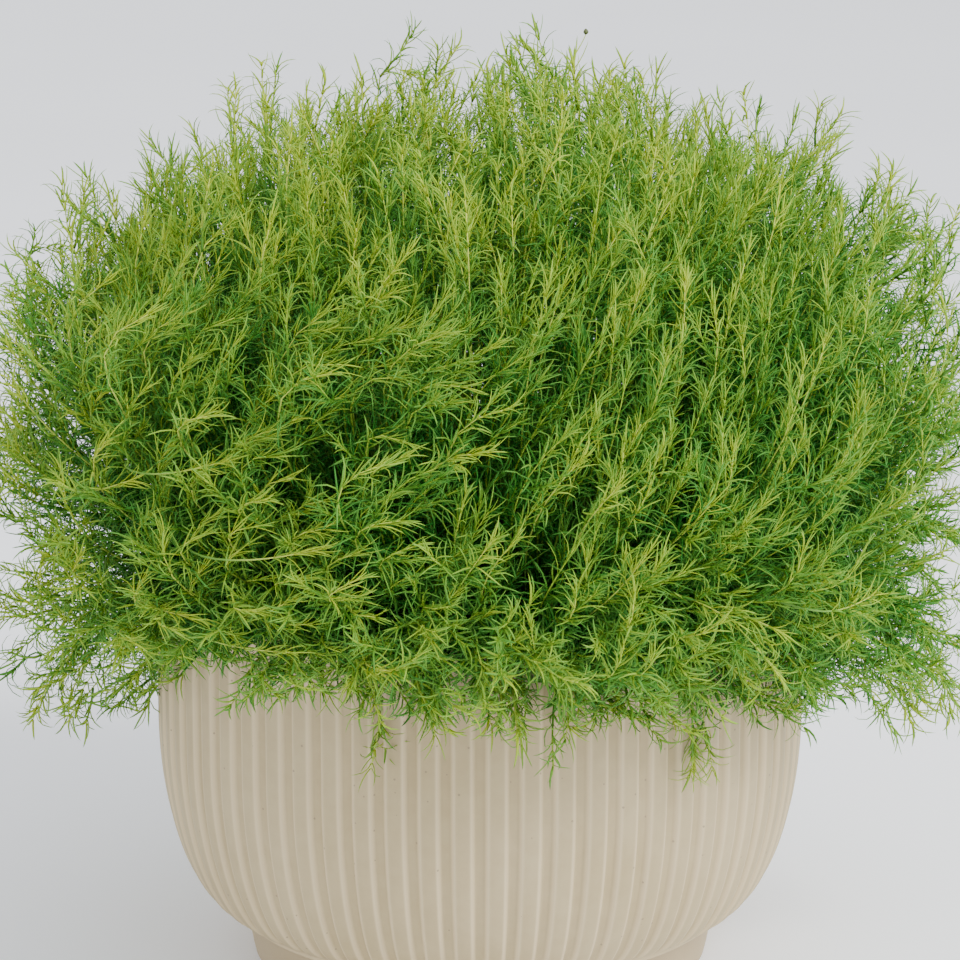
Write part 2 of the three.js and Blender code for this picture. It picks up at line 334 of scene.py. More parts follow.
def stem_material():
    across = (
        (0.0, (0.05, 0.18, 0.012)),
        (0.4, (0.25, 0.4, 0.02)),
        (0.75, (0.42, 0.57, 0.06)),
        (1.0, (0.62, 0.68, 0.12)),
    )
    # The stems are painted darker towards their bases, deep inside the dome: painted shade.
    along = (
        (0.0, (0.15, 0.3, 0.3)),
        (0.5, (0.3, 0.55, 0.5)),
        (0.75, (0.95, 0.97, 1.0)),
        (1.0, (1.0, 1.0, 1.0)),
    )
    return plant_material("stem", across, along, 0.15)


def bud_material():
    n = Nodes("bud")
    place = n.add("ShaderNodeTexCoord").outputs["Object"]
    grain = n.noise(place, 1500.0, 3.0)
    colour = n.ramp(grain, (0.3, (0.04, 0.055, 0.012)), (0.7, (0.1, 0.12, 0.025)))
    shader = n.add("ShaderNodeBsdfPrincipled", {"Base Color": colour, "Roughness": 0.6})
    return n.output(shader.outputs[0])


LEAF = leaf_material()
STEM = stem_material()


# ---- Pot ----


def arc(centre_r, centre_z, radius, start, end, steps):
    """Points of an arc in a [radius, height] profile; the angles are in degrees from outward."""
    turns = np.radians(np.linspace(start, end, steps + 1))
    return [[centre_r + radius * math.cos(t), centre_z + radius * math.sin(t)] for t in turns]


def swell(radius, inset, low, height, steps):
    """A quarter-ellipse from [radius - inset, low] out to [radius, low + height]."""
    turns = np.linspace(0.0, math.pi / 2, steps + 1)
    return [[radius - inset * (1 - math.sin(t)), low + height * (1 - math.cos(t))] for t in turns]


def pot_profile():
    """The pot's section from the drain hole, out under the foot, up the wall and down inside."""
    foot_bottom = FOOT_RADIUS - FOOT_TAPER
    floor_z = RECESS_DEPTH + FLOOR_THICKNESS
    body_low = FOOT_HEIGHT + LIP_HEIGHT
    inside = POT_RADIUS - WALL
    foot_inside = FOOT_RADIUS - FOOT_WALL
    inner_low = FOOT_HEIGHT + WALL
    inner_height = body_low + CURVE_HEIGHT - inner_low
    recess = foot_bottom - FOOT_WALL
    bevel = 0.001
    flare = 0.0006
    rounding = 0.0012
    lip = 0.0008
    profile = [[DRAIN_RADIUS, RECESS_DEPTH], [recess - bevel, RECESS_DEPTH]]
    profile += [[recess, RECESS_DEPTH - bevel], [recess + flare, 0.0]]
    profile += arc(foot_bottom - rounding, rounding, rounding, -90, 0, 4)
    heights = np.linspace(rounding, FOOT_HEIGHT - 0.0015, 6)[1:]
    profile += [[foot_bottom + FOOT_TAPER * z / FOOT_HEIGHT, z] for z in heights]
    profile += [[FOOT_RADIUS + 0.0004, FOOT_HEIGHT - 0.0003]]
    profile += arc(BODY_BASE_RADIUS - lip, FOOT_HEIGHT + lip, lip, -90, 0, 4)
    profile += swell(POT_RADIUS, POT_RADIUS - BODY_BASE_RADIUS, body_low, CURVE_HEIGHT, 26)
    straight = np.linspace(body_low + CURVE_HEIGHT, POT_HEIGHT - RIM_ROUND, 16)[1:-1]
    profile += [[POT_RADIUS, z] for z in straight]
    profile += arc(POT_RADIUS - RIM_ROUND, POT_HEIGHT - RIM_ROUND, RIM_ROUND, 0, 90, 5)
    profile += arc(inside + RIM_ROUND, POT_HEIGHT - RIM_ROUND, RIM_ROUND, 90, 180, 5)
    inner = swell(inside, inside - foot_inside - WALL / 2, inner_low, inner_height, 8)
    profile += inner[::-1]
    profile += [[foot_inside, FOOT_HEIGHT], [recess, floor_z], [DRAIN_RADIUS, floor_z]]
    return np.array(profile)


def rib_section(turns):
    """Depth below the ribs' tops, nearness to a rib's edge and height of its crown, all 0 to 1."""
    share = (turns * RIB_COUNT / (2 * math.pi) + (1 + RIB_SHARE) / 2) % 1.0
    rise = smoothstep(1 - RIB_SLOPE_SHARE, 1.0, share)
    fall = 1 - smoothstep(RIB_SHARE, RIB_SHARE + RIB_SLOPE_SHARE, share)
    top = np.where(share < RIB_SHARE, 1.0, np.maximum(rise, fall))
    first = np.minimum(share, 1 - share)
    second = np.abs(share - RIB_SHARE)
    near = bell(np.minimum(first, second), 0.0, RIB_EDGE_SHARE)
    crown = np.where(share < RIB_SHARE, 1 - (2 * share / RIB_SHARE - 1) ** 2, 0.0)
    return 1 - top, near, crown


def make_pot():
    """The planter as one closed surface, with maps of its light edges and of its bare clay."""
    profile = pot_profile()
    rows = len(profile)
    columns = RIB_COUNT * COLUMNS_PER_RIB
    turns = 2 * math.pi * np.arange(columns) / columns
    depth, near, crown = rib_section(turns)
    r = profile[:, 0][:, None]
    z = profile[:, 1][:, None]
    outer = np.arange(rows)[:, None] <= int(np.argmax(profile[:, 1]))
    # The ribs rise gently out of the lip and end just below the rim.
    ribbed_low = FOOT_HEIGHT + LIP_HEIGHT
    above_lip = smoothstep(ribbed_low - 0.0005, ribbed_low + 0.0035, z)
    below_rim = 1 - smoothstep(POT_HEIGHT - 0.006, POT_HEIGHT - 0.0025, z)
    fade = above_lip * below_rim * outer
    radius = r - fade * (GROOVE_DEPTH * depth - RIB_CROWN * crown + RIB_CROWN)
    height = np.broadcast_to(z, radius.shape)
    points = np.stack([radius * np.sin(turns), -radius * np.cos(turns), height], -1).reshape(-1, 3)
    pot = mesh_object("planter_pot", points, ring_faces(rows, columns, True), ceramic_material())
    shade_smooth(pot)
    # The glaze is thin and light on the lip's edge, and the foot below it is bare.
    lip = bell(z, FOOT_HEIGHT + 0.0012, 0.0011) * outer * (r > FOOT_RADIUS + 0.001)
    edge = np.clip(fade * near + lip * 0.9, 0, 1)
    bare = outer * (1 - smoothstep(FOOT_HEIGHT - 0.0005, FOOT_HEIGHT + 0.0002, z))
    clay = np.broadcast_to(bare, radius.shape)
    for name, values in (("glaze_edge", edge), ("bare_clay", clay)):
        attribute = pot.data.attributes.new(name, "FLOAT", "POINT")
        attribute.data.foreach_set("value", np.ascontiguousarray(values, np.float32).ravel())
    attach(pot, "root")
    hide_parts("pot")


make_pot()


# ---- Soil ----


def value_noise(x, y, cell, seed, count=64):
    """Smooth noise from 0 to 1 on a plane, from random numbers on a grid."""
    grid = np.random.default_rng(seed).random((count, count))
    middle = (count - 1) / 2
    u, v = x / cell + middle, y / cell + middle
    i, j = np.floor(u).astype(int), np.floor(v).astype(int)
    s, t = smoothstep(0, 1, u - i), smoothstep(0, 1, v - j)
    i, j = i % (count - 1), j % (count - 1)
    low = grid[i, j] * (1 - s) + grid[i + 1, j] * s
    high = grid[i, j + 1] * (1 - s) + grid[i + 1, j + 1] * s
    return low * (1 - t) + high * t


def make_soil():
    """Potting mix that fills the pot, with a lumpy, slightly crowned top."""
    columns = 220
    middle_r, floor_r, foot_r = 0.004, 0.0705, 0.0735
    wall_inset = 0.0265
    crown_height = 0.002
    coarse, fine = 0.006, 0.0022
    bottom = soil_low.z
    body_low = FOOT_HEIGHT + WALL + 0.0005
    body_height = FOOT_HEIGHT + LIP_HEIGHT + CURVE_HEIGHT - body_low
    top = SOIL_Z - 0.003
    wall = swell(SOIL_RADIUS, wall_inset, body_low, body_height, 8)
    side = [[middle_r, bottom], [floor_r, bottom], [foot_r, FOOT_HEIGHT], *wall, [SOIL_RADIUS, top]]
    inward = np.linspace(0.985, 0.02, 70)
    crown = [[SOIL_RADIUS * s, top + crown_height * (1 - s)] for s in inward]
    profile = np.array(side + crown)
    turns = 2 * math.pi * np.arange(columns) / columns
    x = profile[:, :1] * np.cos(turns)
    y = profile[:, :1] * np.sin(turns)
    loose = (np.arange(len(profile)) >= len(side))[:, None]
    rough = value_noise(x, y, coarse, 1) * 0.0022 + value_noise(x, y, fine, 2) * 0.0014
    z = profile[:, 1:] + loose * (rough - 0.0024)
    points = np.stack([x, y, z], -1).reshape(-1, 3)
    soil = mesh_object("potting_soil", points, ring_faces(len(profile), columns), soil_material())
    shade_smooth(soil)
    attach(soil, "root")
    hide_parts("soil")


make_soil()


# ---- The dome's outline ----


def superellipse(share, roundness):
    return np.maximum(1 - np.clip(share, 0, 1) ** roundness, 0.0) ** (1 / roundness)


def dome_z(radius):
    return WIDEST_Z + (DOME_TOP - WIDEST_Z) * superellipse(radius / DOME_RADIUS, DOME_ROUNDNESS)


def skirt_z(radius):
    return WIDEST_Z - (WIDEST_Z - SKIRT_Z) * superellipse(radius / DOME_RADIUS, SKIRT_ROUNDNESS)


def outline(count=400):
    """The dome's section from its top down to the pot's wall: points and outward normals."""
    upper = DOME_RADIUS * np.sin(np.linspace(0, math.pi / 2, count))
    end = math.asin((POT_RADIUS + WALL_CLEARANCE) / DOME_RADIUS)
    lower = DOME_RADIUS * np.sin(np.linspace(math.pi / 2, end, count // 3))[1:]
    halves = [np.stack([upper, dome_z(upper)], 1), np.stack([lower, skirt_z(lower)], 1)]
    points = np.concatenate(halves)
    tangent = unit(np.gradient(points, axis=0))
    normal = np.stack([-tangent[:, 1], tangent[:, 0]], 1)
    outward = np.sum(normal * (points - [0.0, WIDEST_Z]), axis=1, keepdims=True)
    return points, normal * np.where(outward < 0, -1.0, 1.0)


OUTLINE, OUTLINE_NORMAL = outline()


def scatter(count, rng):
    """Places spread evenly over the dome: radius, height, azimuth and the outline's normal."""
    step = np.linalg.norm(np.diff(OUTLINE, axis=0), axis=1)
    middle = (OUTLINE[1:] + OUTLINE[:-1]) / 2
    weight = step * middle[:, 0]
    total = np.concatenate([[0], np.cumsum(weight)])
    # A sunflower spiral keeps neighbours apart; the jitter hides its arms.
    share = (np.arange(count) + 0.5 + rng.normal(0, 0.6, count)) / count
    where = np.interp(np.clip(share, 0, 1) * total[-1], total, np.arange(len(total)))
    golden = math.pi * (3 - math.sqrt(5))
    azimuth = golden * np.arange(count) + rng.normal(0, 0.04, count)
    low = np.minimum(where.astype(int), len(OUTLINE) - 2)
    part = (where - low)[:, None]
    place = OUTLINE[low] * (1 - part) + OUTLINE[low + 1] * part
    normal = unit(OUTLINE_NORMAL[low] * (1 - part) + OUTLINE_NORMAL[low + 1] * part)
    return place[:, 0], place[:, 1], azimuth, normal


def field(points, scale, seed, waves=6):
    """A smooth random vector at each point, from a few sine waves."""
    rng = np.random.default_rng(seed)
    total = np.zeros(points.shape)
    for _ in range(waves):
        direction = unit(rng.normal(size=3))
        phase = rng.uniform(0, 2 * math.pi, 3)
        length = scale * rng.uniform(0.7, 1.6)
        swing = 2 * math.pi * (points @ direction) / length
        total += np.sin(swing[:, None] + phase)
    return total / math.sqrt(waves)


# ---- Growing stems ----


def bezier(p0, p1, p2, p3, t):
    s = 1 - t
    return s**3 * p0 + 3 * s**2 * t * p1 + 3 * s * t**2 * p2 + t**3 * p3


def frames(path):
    """Tangent and two side directions along each path, carried without twisting."""
    tangent = unit(np.gradient(path, axis=1))
    helper = np.where(np.abs(tangent[:, :1, 2:]) > 0.9, [[[1.0, 0, 0]]], [[[0, 0, 1.0]]])
    side = unit(np.cross(tangent[:, 0], helper[:, 0]))
    sides = [side]
    for k in range(1, path.shape[1]):
        side = unit(side - np.sum(side * tangent[:, k], -1, keepdims=True) * tangent[:, k])
        sides.append(side)
    sides = np.stack(sides, 1)
    return tangent, sides, np.cross(tangent, sides)


def length_along(path):
    """How far each path has run at each of its steps."""
    spans = np.linalg.norm(np.diff(path, axis=1), axis=2)
    return np.concatenate([np.zeros((len(path), 1)), np.cumsum(spans, 1)], 1)


def step_at(distance, length):
    """The fractional step at which each path has run its distance."""
    steps = np.arange(length.shape[1])
    return np.array([np.interp(d, row, steps) for d, row in zip(distance, length)])


def sample(values, place):
    """values[sprig, step] read at fractional steps: place is (sprig numbers, steps)."""
    sprig, step = place
    low = np.clip(step.astype(int), 0, values.shape[1] - 2)
    part = (step - low)[:, None]
    return values[sprig, low] * (1 - part) + values[sprig, low + 1] * part


def grow_leaves(path, leafed, tone, vigour, rng):
    """Whorls of leaves along the outer part of each path.

    leafed is the length that carries leaves, tone the colour at the tip, and vigour the size of
    the leaves. Returns one entry per leaf under each key.
    """
    count = len(path)
    length = length_along(path)
    total = length[:, -1]
    tangent, side, other = frames(path)
    # Distances back from the tip: close together at the tip, then a steady spacing.
    back = [0.0003]
    while back[-1] < leafed.max():
        back.append(back[-1] + NODE_SPACING * (0.42 + 0.58 * smoothstep(0.0, 0.016, back[-1])))
    rows = []
    for number, distance in enumerate(back):
        from_tip = distance * (1 + rng.normal(0, 0.03, count)) + rng.normal(0, 0.0004, count)
        from_tip = np.maximum(from_tip, 0.0002)
        alive = np.flatnonzero((from_tip < leafed) & (from_tip < total - 0.002))
        if not len(alive):
            continue
        step = step_at(total[alive] - from_tip[alive], length[alive])
        base = sample(path, (alive, step))
        t, u, v = (unit(sample(q, (alive, step))) for q in (tangent, side, other))
        ripe = smoothstep(0.0, 0.022, from_tip[alive])
        # Leaves further back from the tip are older and lie deeper in the dome. Their tone is lowered
        # for both: the older leaves' own colour and painted shade.
        deep = smoothstep(0.002, 0.045, from_tip[alive])
        twist = number * math.pi / 2 + rng.normal(0, 0.3, len(alive))
        for k in range(3 if number % 2 else 4):
            # The tip carries pairs; the small leaves between them come further back.
            c = np.flatnonzero(rng.random(len(alive)) < (1.0 if k < 2 else 0.1 + 0.8 * ripe))
            place = (alive[c], base[c], (t[c], u[c], v[c]), twist[c])
            rows.append(whorl_leaf(k, *place, ripe[c], deep[c], tone, vigour, rng))
    return {key: np.concatenate([row[key] for row in rows]) for key in rows[0]}


def whorl_leaf(k, alive, base, axes, twist, ripe, deep, tone, vigour, rng):
    """Leaf k of one whorl on every stem: the first two are an opposite pair, the rest are small."""
    t, u, v = axes
    count = len(alive)
    pair = k < 2
    around = twist + (math.pi * k if pair else math.pi * (k - 1.5) + rng.normal(0, 0.4, count))
    size = LEAF_LENGTH * vigour[alive] * (0.68 + 0.32 * ripe)
    size = size * (rng.uniform(0.8, 1.2, count) if pair else rng.uniform(0.4, 0.85, count))
    # Most leaves lie along the stem and then arch out, the others stand off it and curve back in.
    arching = rng.random(count) < ARCHING_SHARE
    spread = np.where(arching, 0.14 + 0.36 * ripe, 0.3 + 0.75 * ripe)
    curl = np.where(arching, 0.5 + 0.9 * ripe, -0.2 - 0.95 * ripe) * rng.uniform(0.4, 1.6, count)
    # Round the outline and in the skirt the leaves are broader, stand off more and curl more.
    skirt = smoothstep(WIDEST_Z + 0.005, POT_HEIGHT - 0.01, base[:, 2])
    sides = smoothstep(0.105, 0.15, np.abs(base[:, 0]))
    loose = np.maximum(np.maximum(skirt, sides), smoothstep(0.268, 0.3, base[:, 2]))
    wild = 1 + 1.1 * loose
    outward = np.cos(around)[:, None] * u + np.sin(around)[:, None] * v
    return {
        "base": base + outward * STEM_RADIUS * 0.6,
        "axis": t,
        "out": outward,
        "size": size,
        "spread": spread + 0.32 * loose * (1 - 0.6 * ripe) + rng.normal(0, 0.12, count),
        "curl": np.clip(curl * wild, -CURL_LIMIT, CURL_LIMIT),
        "sway": rng.normal(0, 0.5, count) * wild,
        "droop": 0.6 * ripe * rng.uniform(-0.5, 1.0, count),
        # deep lowers the tone: partly older leaves' colour, partly painted shade deep in the dome.
        "tone": tone[alive] - 0.5 * deep + rng.normal(0, 0.07, count) - (0.0 if pair else 0.05),
        "width": (
            LEAF_WIDTH * rng.uniform(0.75, 1.15, count) * (0.85 + 0.15 * ripe) * (1 + 0.4 * loose)
        ),
    }


def blades(leaf):
    """Closed tapered blades with a shallow keel: points, corners, places for colour and tone."""
    count = len(leaf["size"])
    rings = len(BLADE_STATIONS)
    side = unit(np.cross(leaf["axis"], leaf["out"]))
    points = np.zeros((count, 3 * rings + 1, 3))
    place = leaf["base"].copy()
    previous = 0.0
    for k, s in enumerate((*BLADE_STATIONS, 1.0)):
        mid = (s + previous) / 2
        bend = leaf["spread"] + leaf["curl"] * mid
        heading = np.cos(bend)[:, None] * leaf["axis"] + np.sin(bend)[:, None] * leaf["out"]
        heading = heading + side * (leaf["sway"] * mid)[:, None]
        heading[:, 2] -= leaf["droop"] * mid
        heading = unit(heading)
        place = place + heading * (leaf["size"] * (s - previous))[:, None]
        previous = s
        if k == rings:
            points[:, -1] = place
            break
        half = side * (leaf["width"] * BLADE_WIDTHS[k] / 2)[:, None]
        keel = unit(np.cross(side, heading)) * (LEAF_THICKNESS * BLADE_WIDTHS[k])
        points[:, 3 * k] = place - half
        points[:, 3 * k + 1] = place + keel
        points[:, 3 * k + 2] = place + half
    corners = []
    for a in range(0, 3 * (rings - 1), 3):
        for i, j in ((0, 1), (1, 2), (2, 0)):
            corners += [[a + i, a + j, a + 3 + j], [a + i, a + 3 + j, a + 3 + i]]
    last = 3 * (rings - 1)
    tip = 3 * rings
    corners += [[last, last + 1, tip], [last + 1, last + 2, tip], [last + 2, last, tip], [2, 1, 0]]
    along = MAP_MARGIN + MAP_SPAN * np.append(np.repeat(BLADE_STATIONS, 3), 1.0)
    across = np.append(np.tile([-1.0, 0.0, 1.0], rings), 0.0) * MAP_HALF_WIDTH
    return points, np.array(corners), along, across, leaf["tone"]


def tubes(path, radius, tone):
    """Closed four-sided stems that taper towards the tip."""
    count, steps, _ = path.shape
    _, side, other = frames(path)
    share = np.linspace(0, 1, steps)
    size = radius[:, None] * (1.15 - 0.75 * share)[None]
    ring = []
    for turn in np.arange(4) * math.pi / 2:
        ring.append(path + (math.cos(turn) * side + math.sin(turn) * other) * size[..., None])
    points = np.stack(ring, 2).reshape(count, steps * 4, 3)
    corners = []
    for k in range(steps - 1):
        for i in range(4):
            j = (i + 1) % 4
            a, b = 4 * k, 4 * k + 4
            corners += [[a + i, a + j, b + j], [a + i, b + j, b + i]]
    last = 4 * (steps - 1)
    corners += [[2, 1, 0], [3, 2, 0], [last, last + 1, last + 2], [last, last + 2, last + 3]]
    along = np.repeat(MAP_MARGIN + MAP_SPAN * share, 4)
    across = np.tile([-1.0, -0.4, 0.4, 1.0], steps) * MAP_HALF_WIDTH
    return points, np.array(corners), along, across, tone


def plant_mesh(name, points, corners, along, across, tone, material):
    """One mesh from many equal small closed bodies, with the map that its colour is read from."""
    count, size, _ = points.shape
    faces = (corners[None] + size * np.arange(count)[:, None, None]).reshape(-1)
    mesh = bpy.data.meshes.new(name)
    mesh.vertices.add(count * size)
    mesh.vertices.foreach_set("co", points.astype(np.float32).ravel())
    triangles = len(faces) // 3
    mesh.loops.add(len(faces))
    mesh.loops.foreach_set("vertex_index", faces.astype(np.int32))
    mesh.polygons.add(triangles)
    mesh.polygons.foreach_set("loop_start", np.arange(0, 3 * triangles, 3, dtype=np.int32))
    mesh.polygons.foreach_set("use_smooth", np.ones(triangles, bool))
    mesh.update(calc_edges=True)
    corner = corners.reshape(-1)
    u = np.tile(along[corner], count)
    # A cap lies at one place along the blade, so it is spread a little to keep some width.
    caps = np.ptp(along[corners], axis=1) < 1e-6
    spread = np.where(np.repeat(caps, 3), np.tile([0.0, 0.01, 0.02], len(corners)), 0.0)
    u = np.where(u > 0.5, u - np.tile(spread, count), u + np.tile(spread, count))
    v = np.clip(tone, TONE_MARGIN, 1 - TONE_MARGIN)[:, None] + across[corner][None]
    layer = mesh.uv_layers.new(name="OFBake")
    layer.data.foreach_set("uv", np.stack([u, v.ravel()], 1).astype(np.float32).ravel())
    mesh.materials.append(material)
    piece = bpy.data.objects.new(name, mesh)
    bpy.context.scene.collection.objects.link(piece)
    return piece


def clump_of(radius, height, azimuth):
    """The name of the CAD clump that a place on the dome belongs to."""
    name, count = "foliage_trailing", 12
    if height > WIDEST_Z:
        if radius < INNER_TOP:
            return "foliage_centre"
        if radius < MIDDLE_TOP:
            name, count = "foliage_inner", 6
        elif radius < OUTER_TOP:
            name, count = "foliage_middle", 10
    sector = int(round(azimuth / (2 * math.pi / count))) % count
    return f"{name}_{sector + 1}"


def sprig_paths(tip, aim, root, lift, rng):
    """Stems from the soil to their tips: up out of the soil, then leaning out, tip turned to aim."""
    reach = np.linalg.norm(tip - root, axis=1)[:, None]
    first = root + (UP + rng.normal(0, 0.12, tip.shape)) * reach * lift[:, None]
    last = tip - aim * reach * 0.36
    t = np.linspace(0, 1, STEPS)[None, :, None]
    return clear_pot(bezier(root[:, None], first[:, None], last[:, None], tip[:, None], t))


def clear_pot(path):
    """Lifts stems over the rim and keeps those outside it off the wall."""
    over = POT_HEIGHT + 0.0015
    well_below = POT_HEIGHT - 0.012
    inside = POT_RADIUS - WALL - 0.004
    outside = POT_RADIUS + 0.003
    r = np.linalg.norm(path[..., :2], axis=-1)
    lifted = path.copy()
    crossing = (path[..., 2] < over) & (r > inside) & (r < outside)
    hanging = crossing & (path[..., 2] < well_below)
    lifted[..., 2] = np.where(crossing & ~hanging, over, path[..., 2])
    push = np.where(hanging, outside / np.maximum(r, 1e-6), 1.0)
    lifted[..., :2] *= push[..., None]
    return lifted


def forks(path, parents, back, rng):
    """Side shoots that leave their parents some way back from the tip and turn to run beside them."""
    count = len(parents)
    mother = path[parents]
    length = length_along(mother)
    step = step_at(np.maximum(length[:, -1] - back, 0.3 * length[:, -1]), length)
    number = np.arange(count)
    start = sample(mother, (number, step))
    tangent = unit(sample(frames(mother)[0], (number, step)))
    away = unit(np.cross(tangent, rng.normal(size=(count, 3))))
    reach = (back * rng.uniform(0.75, 1.15, count))[:, None]
    angle = rng.uniform(0.45, 0.8, count)[:, None]
    first = start + (np.cos(angle) * tangent + np.sin(angle) * away) * reach * 0.4
    heading = unit(tangent + 0.35 * away + 0.15 * UP + rng.normal(0, 0.12, (count, 3)))
    tip = start + unit(tangent + 0.5 * away) * reach
    last = tip - heading * reach * 0.3
    t = np.linspace(0, 1, STEPS)[None, :, None]
    return bezier(start[:, None], first[:, None], last[:, None], tip[:, None], t)


def add_pieces(name, nodes, path, leafed, tone, vigour, rng):
    """The leaves and the stems of one clump or sprig, in place of the CAD nodes."""
    leaf = grow_leaves(path, leafed, tone, vigour, rng)
    count = len(leaf["size"])
    parts = np.array_split(np.arange(count), math.ceil(count / LEAVES_PER_PIECE))
    made = []
    for number, part in enumerate(parts):
        label = f"{name}_leaves_{number + 1}" if number else f"{name}_leaves"
        share = {key: values[part] for key, values in leaf.items()}
        made.append((plant_mesh(label, *blades(share), LEAF), "leaf"))
    stems = tubes(path, STEM_RADIUS * (0.8 + 0.4 * vigour), tone - 0.05)
    made.append((plant_mesh(f"{name}_stems", *stems, STEM), "stem"))
    for piece, slot in made:
        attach(piece, "root")
        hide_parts(*nodes)


def aim_field(surface, face, rng):
    """Which way each tip points: out and up, swept across the front, and level in the skirt."""
    x, y, z = surface.T
    below = smoothstep(WIDEST_Z + 0.012, WIDEST_Z - 0.03, z)[:, None]
    front = smoothstep(0.02, -0.06, y) * smoothstep(0.29, 0.26, z)
    swept = 1.75 * bell(x, -0.06, 0.062) - 0.5 * smoothstep(-0.135, -0.165, x)
    side = smoothstep(0.11, 0.15, np.abs(x))[:, None]
    crown = smoothstep(0.26, 0.29, z)[:, None]
    level = unit(surface * np.array([1, 1, 0]))
    drift = field(surface, 0.07, 5)
    outward = (face * (1 - below) + level * below) * (0.55 - 0.25 * front[:, None] + 0.35 * below)
    upward = UP * (0.95 - 1.0 * below - 0.35 * (front * np.maximum(swept, 0))[:, None])
    aim = outward + upward + RIGHT * (front * swept + 0.08)[:, None] + drift * 0.34
    unruly = 0.25 + 0.3 * side + 0.25 * below + 0.12 * crown
    return unit(aim + rng.normal(0, 1.0, surface.shape) * unruly)


def fringe_z(azimuth, rng):
    """How low the skirt's tips may hang: lowest at the left and right, highest at the front left."""
    sides = np.abs(np.cos(azimuth)) ** 6
    turned = np.degrees(azimuth) % 360
    short = bell(turned, SHORT_FRINGE, SHORT_FRINGE_WIDTH)
    low = POT_HEIGHT - 0.021 - 0.026 * sides + SHORT_FRINGE_RISE * short
    return low + rng.normal(0, 0.004 * (1 - 0.5 * short), len(azimuth))


def shoulders(r, z, rightward):
    """How far the dome swells out (+) or falls in (-) above its widest place, by side."""
    high = smoothstep(WIDEST_Z + 0.015, WIDEST_Z + 0.04, z)
    right = smoothstep(0.45, 0.85, rightward)
    left = smoothstep(0.45, 0.85, -rightward)
    swelling = 0.007 * right * bell(r, 0.143, 0.018) + 0.005 * left * bell(r, 0.156, 0.01)
    hollow = 0.016 * left * bell(r, 0.127, 0.016)
    crown = 0.009 * bell(r * rightward, 0.034, 0.02) * smoothstep(0.275, 0.295, z)
    return high * (swelling - hollow) + crown - 0.003 * smoothstep(0.24, 0.27, z)


def thinning(r, z, rightward):
    """The share of sprigs left out: some at the two sides, above all the left, and at the crown."""
    side = smoothstep(0.72, 0.95, np.abs(rightward)) * smoothstep(0.12, 0.15, r)
    side = side * smoothstep(0.26, 0.22, z) * np.where(rightward < 0, 0.5, 0.28)
    skirt = 0.35 * (z < WIDEST_Z) * smoothstep(-0.25, -0.55, rightward)
    return side + skirt + 0.15 * smoothstep(0.27, 0.29, z)


def layer_of_sprigs(count, deep, lean, seed):
    """One layer of sprigs: their paths, the tones at their tips, their clumps and their reach.

    deep gives the tips' depths below the dome's surface, and lean how far the sprigs' own
    directions stray from their neighbours'.
    """
    rng = np.random.default_rng(seed)
    r, z, azimuth, normal = scatter(count, rng)
    keep = rng.random(count) > thinning(r, z, np.cos(azimuth))
    r, z, azimuth, normal = r[keep], z[keep], azimuth[keep], normal[keep]
    count = len(r)
    outward = np.stack([np.cos(azimuth), np.sin(azimuth), np.zeros(count)], 1)
    surface = r[:, None] * outward + z[:, None] * UP
    face = normal[:, :1] * outward + normal[:, 1:] * UP
    depth = deep(rng, count)
    lumps = np.minimum(field(surface, LUMP_SPACING, 3)[:, 0] * LUMP_HEIGHT, LUMP_LIMIT)
    tip = surface + face * (lumps + shoulders(r, z, outward[:, 0]) - depth)[:, None]
    limit = (DOME_RADIUS + TIP_OVERHANG) / np.linalg.norm(tip[:, :2], axis=1)
    tip[:, :2] *= np.minimum(limit, 1.0)[:, None]
    hanging = smoothstep(0.8, 0.97, np.abs(outward[:, 0])) * smoothstep(WIDEST_Z, WIDEST_Z - 0.02, z)
    tip[:, 2] = np.maximum(tip[:, 2] - SIDE_DROOP * hanging, fringe_z(azimuth, rng))
    aim = unit(aim_field(surface, face, rng) + rng.normal(0, lean, (count, 3)))
    share = np.minimum(r, DOME_RADIUS) / DOME_RADIUS
    root_r = SOIL_RADIUS * np.clip(0.93 * share**0.8 + rng.normal(0, 0.05, count), 0.02, 0.93)
    root = root_r[:, None] * outward + UP * (SOIL_Z - ROOT_DEPTH)
    lift = np.where(z < WIDEST_Z + 0.02, 0.45, 0.3)
    path = sprig_paths(tip, aim, root, lift, rng)
    # The tones hold painted light and shade: darker for tips deep below the dome's surface and in the
    # skirt below its widest place, lighter at the crown, and darker at the right, where the key light
    # falls.
    below = smoothstep(WIDEST_Z + 0.01, WIDEST_Z - 0.05, z)
    tone = 0.92 - np.maximum(depth - 0.006, 0) * 15 + rng.normal(0, 0.07, count) - 0.1 * below
    tone = tone + 0.06 * smoothstep(0.26, 0.29, z) - 0.08 * smoothstep(0.05, 0.12, surface[:, 0])
    names = np.array([clump_of(*args) for args in zip(r, z, azimuth % (2 * math.pi))])
    return path, tone, names, np.linalg.norm(tip - root, axis=1)


